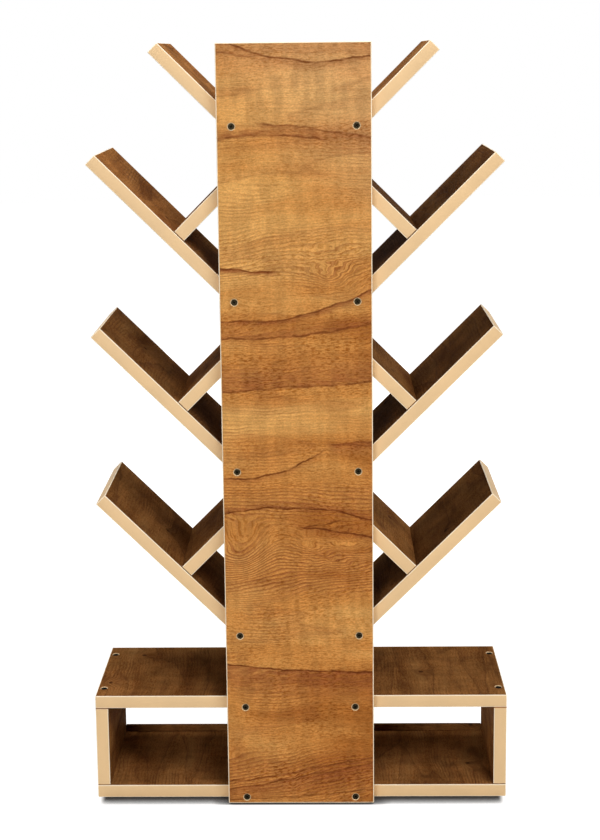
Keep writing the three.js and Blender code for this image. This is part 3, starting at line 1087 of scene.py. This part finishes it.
MADE = {}  # the finishes made so far
ONE_COLOUR = {  # what makes each of the other finishes, and the setting that holds its colour
    "edge_banding": (banding_plastic, "banding"),
    "scraped_banding": (banding_plastic, "scraped"),
    "particle_board": (particle_board, "chips"),
    "recess_steel": (blackened_steel, "recess_steel"),
    "blackened_steel": (blackened_steel, "steel"),
}


def material(name):
    """The finish of that name, made the first time that it is asked for."""
    finishes = bpy.context.scene.bookshelf_finishes
    if name in MADE:
        return MADE[name]
    if name in ONE_COLOUR:
        maker, setting = ONE_COLOUR[name]
        MADE[name] = maker(name, getattr(finishes, setting)[:])
    else:
        kind = name.removesuffix("_laminate")
        words = [f"{kind}_{word}" for word in ("light", "mid", "deep", "stain", "vein")]
        tones = [getattr(finishes, word)[:] for word in (*words, "pores", "trunk_painted_sheen")]
        sheen = getattr(finishes, kind + "_sheen")
        MADE[name] = laminate(name, tones, sheen, on_trunk=kind == "trunk")
    return MADE[name]


# Operators: one for each piece or group of like pieces, and one for the stage

class BOOKSHELF_OT_trunk(bpy.types.Operator):
    """Models the trunk panel and its banding"""

    bl_idname = "bookshelf.trunk"
    bl_label = "Trunk panel"

    def execute(self, context):
        make_boards(context, ["trunk_panel"], "trunk_laminate")
        return {"FINISHED"}


class BOOKSHELF_OT_long_boards(bpy.types.Operator):
    """Models the long shelf boards of the four tiers"""

    bl_idname = "bookshelf.long_boards"
    bl_label = "Long shelf boards"

    def execute(self, context):
        make_boards(context, [node for node in BOARD_NODES if "long_board" in node])
        return {"FINISHED"}


class BOOKSHELF_OT_short_boards(bpy.types.Operator):
    """Models the short boards that prop up the tiers"""

    bl_idname = "bookshelf.short_boards"
    bl_label = "Short shelf boards"

    def execute(self, context):
        make_boards(context, [node for node in BOARD_NODES if "short_board" in node])
        return {"FINISHED"}


class BOOKSHELF_OT_base(bpy.types.Operator):
    """Models the boards of the base"""

    bl_idname = "bookshelf.base"
    bl_label = "Base boards"

    def execute(self, context):
        make_boards(context, [node for node in BOARD_NODES if node.startswith("base_")])
        return {"FINISHED"}


LIP_ROUNDING = 0.8 * MM
LIP_PRINT_ORIGIN = Vector((3, 0, 1))  # metres; its own place on the sheet of print


class BOOKSHELF_OT_rear_lip(bpy.types.Operator):
    """Models the low strip along the back of the base"""

    bl_idname = "bookshelf.rear_lip"
    bl_label = "Rear lip"

    def execute(self, context):
        node = "base_rear_lip"
        low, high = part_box(node)
        strip = add_block(node + "_strip", Matrix.Translation((low + high) / 2), high - low)
        bpy.ops.object.mode_set(mode="EDIT")
        bpy.ops.mesh.select_all(action="SELECT")
        bpy.ops.mesh.bevel(offset=LIP_ROUNDING, segments=3, affect="EDGES")
        finish_edit()
        strip.data.materials.append(material("shelf_laminate"))
        lay_print(strip, LIP_PRINT_ORIGIN, Vector((1, 0, 0)), Vector((0, 1, 1)))
        paint_light_on_print(strip, node)
        declare(strip, "shelf_laminate", node)
        return {"FINISHED"}


class BOOKSHELF_OT_screws(bpy.types.Operator):
    """Models one screw and drives a copy of it wherever the frame has one"""

    bl_idname = "bookshelf.screws"
    bl_label = "Screws"

    def execute(self, context):
        settings = context.scene.bookshelf_screws
        master = model_screw(settings, screw_length())
        for node in SCREW_NODES:
            screw = copy_of(master, node + "_driven", screw_place(node, settings.seed))
            declare(screw, "blackened_steel", node)
        make_active(master)
        bpy.ops.object.delete()
        return {"FINISHED"}


FLOOR_RADIUS = 9  # metres
FLOOR_DROP = 0.2 * MM  # how far the floor lies under the object, so that no two faces coincide
# The lights: each one's name, its width and its place in metres
LIGHTS = (
    ("front", 1.5, (-1.3, -4.9, 1.2)),
    ("key", 2.0, (1.46, -2.3, 3.4)),
    ("top", 1.2, (-0.6, 0.15, 2.9)),
    ("side", 1.4, (2.2, 0.3, 2.2)),
    ("rear", 1.2, (0, 3.2, 0.6)),
)


def add_light(name, watts, width, place):
    """A square soft light that is turned towards the middle of the object."""
    aim = (cad_low + cad_high) / 2
    turn = (Vector(place) - aim).to_track_quat("Z", "Y").to_euler()
    bpy.ops.object.light_add(type="AREA", location=place, rotation=turn)
    light = bpy.context.active_object
    light.name = name
    light.data.size = width
    light.data.energy = watts


class BOOKSHELF_OT_stage(bpy.types.Operator):
    """Sets up the floor, the light and the camera"""

    bl_idname = "bookshelf.stage"
    bl_label = "Stage"

    def execute(self, context):
        settings = context.scene.bookshelf_stage
        deselect_all()
        bpy.ops.mesh.primitive_circle_add(
            vertices=96, radius=FLOOR_RADIUS, fill_type="NGON", location=(0, 0, -FLOOR_DROP)
        )
        floor = settle("studio_floor")
        floor.data.materials.append(floor_paint("studio_floor_paint"))

        for name, width, place in LIGHTS:
            add_light(name + "_light", getattr(settings, name + "_power"), width, place)
        rear = bpy.data.objects["rear_light"]
        rear.visible_glossy = False  # its mirror image would veil the boards' faces

        turn = (
            Matrix.Rotation(-settings.yaw, 4, "Z")
            @ Matrix.Rotation(math.pi / 2 - settings.pitch, 4, "X")
            @ Matrix.Rotation(settings.roll, 4, "Z")
        )
        bpy.ops.object.camera_add(location=settings.eye, rotation=turn.to_euler())
        camera = context.active_object
        camera.name = "photograph_view"
        camera.data.lens = settings.lens
        camera.data.shift_x, camera.data.shift_y = settings.shift
        context.scene.camera = camera

        world = bpy.data.worlds.new("studio")
        world.use_nodes = True
        context.scene.world = world
        tree = world.node_tree
        white = {"Value": sees_background(tree), **span(0.0, 1.0, settings.fill, 1.0)}
        strength = add(tree, "MapRange", white, **SMOOTHLY)
        feed(tree, tree.nodes["Background"], {"Color": grey(1), "Strength": strength})
        context.scene.view_settings.view_transform = "Standard"
        return {"FINISHED"}


PIECE_OPERATORS = (
    BOOKSHELF_OT_trunk,
    BOOKSHELF_OT_long_boards,
    BOOKSHELF_OT_short_boards,
    BOOKSHELF_OT_base,
    BOOKSHELF_OT_rear_lip,
    BOOKSHELF_OT_screws,
    BOOKSHELF_OT_stage,
)
SETTINGS = {
    "bookshelf_boards": BoardSettings,
    "bookshelf_screws": ScrewSettings,
    "bookshelf_finishes": FinishSettings,
    "bookshelf_stage": StageSettings,
}


class BOOKSHELF_PT_build(bpy.types.Panel):
    """Lists the settings and the operators that build the bookshelf"""

    bl_label = "Tree shaped bookshelf"
    bl_idname = "BOOKSHELF_PT_build"
    bl_space_type = "VIEW_3D"
    bl_region_type = "UI"
    bl_category = "Bookshelf"

    def draw(self, context):
        for name in SETTINGS:
            group = getattr(context.scene, name)
            box = self.layout.box()
            for setting in group.bl_rna.properties.keys():
                if setting not in ("rna_type", "name"):
                    box.prop(group, setting)
        for operator in PIECE_OPERATORS:
            self.layout.operator(operator.bl_idname)


CLASSES = (*SETTINGS.values(), *PIECE_OPERATORS, BOOKSHELF_PT_build)


def register():
    for made in CLASSES:
        bpy.utils.register_class(made)
    for name, group in SETTINGS.items():
        setattr(bpy.types.Scene, name, PointerProperty(type=group))


def unregister():
    for name in SETTINGS:
        delattr(bpy.types.Scene, name)
    for made in reversed(CLASSES):
        bpy.utils.unregister_class(made)


def main():
    register()
    bpy.ops.bookshelf.trunk()
    bpy.ops.bookshelf.long_boards()
    bpy.ops.bookshelf.short_boards()
    bpy.ops.bookshelf.base()
    bpy.ops.bookshelf.rear_lip()
    bpy.ops.bookshelf.screws()
    bpy.ops.bookshelf.stage()


if __name__ == "__main__":
    main()
